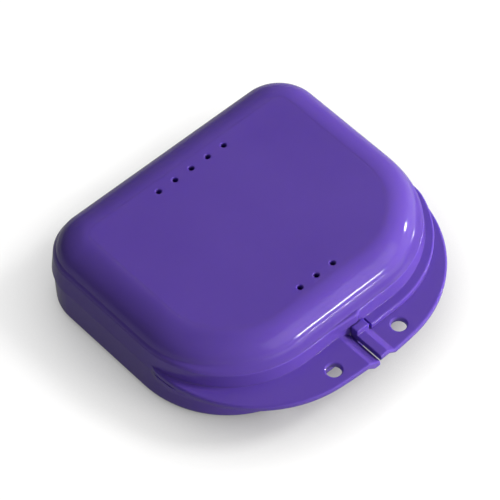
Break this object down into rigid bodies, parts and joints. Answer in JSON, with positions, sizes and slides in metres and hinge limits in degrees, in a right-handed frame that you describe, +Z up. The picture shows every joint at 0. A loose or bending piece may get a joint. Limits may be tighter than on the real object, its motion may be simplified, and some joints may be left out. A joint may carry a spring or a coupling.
{
  "type": "retainer case",
  "caption": "Hinged clam-shell plastic case for a dental retainer, with a domed vented lid, a crescent finger lip split between lid and base, and lanyard holes.",
  "frame": {"origin": "bottom centre of the closed case's box, on the surface that it stands on", "axes": "+X right along the hinge, +Y back to the hinge, +Z up"},
  "size_m": [0.0788, 0.0774, 0.0233],
  "materials": {
    "case_plastic": "glossy purple polypropylene",
    "pin_steel": "plain drawn steel"
  },
  "bodies": {
    "base": {"base": "case_plastic", "hinge_pin": "pin_steel"},
    "lid": {"lid": "case_plastic"}
  },
  "joints": [
    {"name": "lid_hinge", "type": "hinge", "parent": "base", "child": "lid", "pos_m": [0, 0.03712, 0.0117], "axis": [-1, 0, 0], "range_deg": [0, 180]}
  ]
}
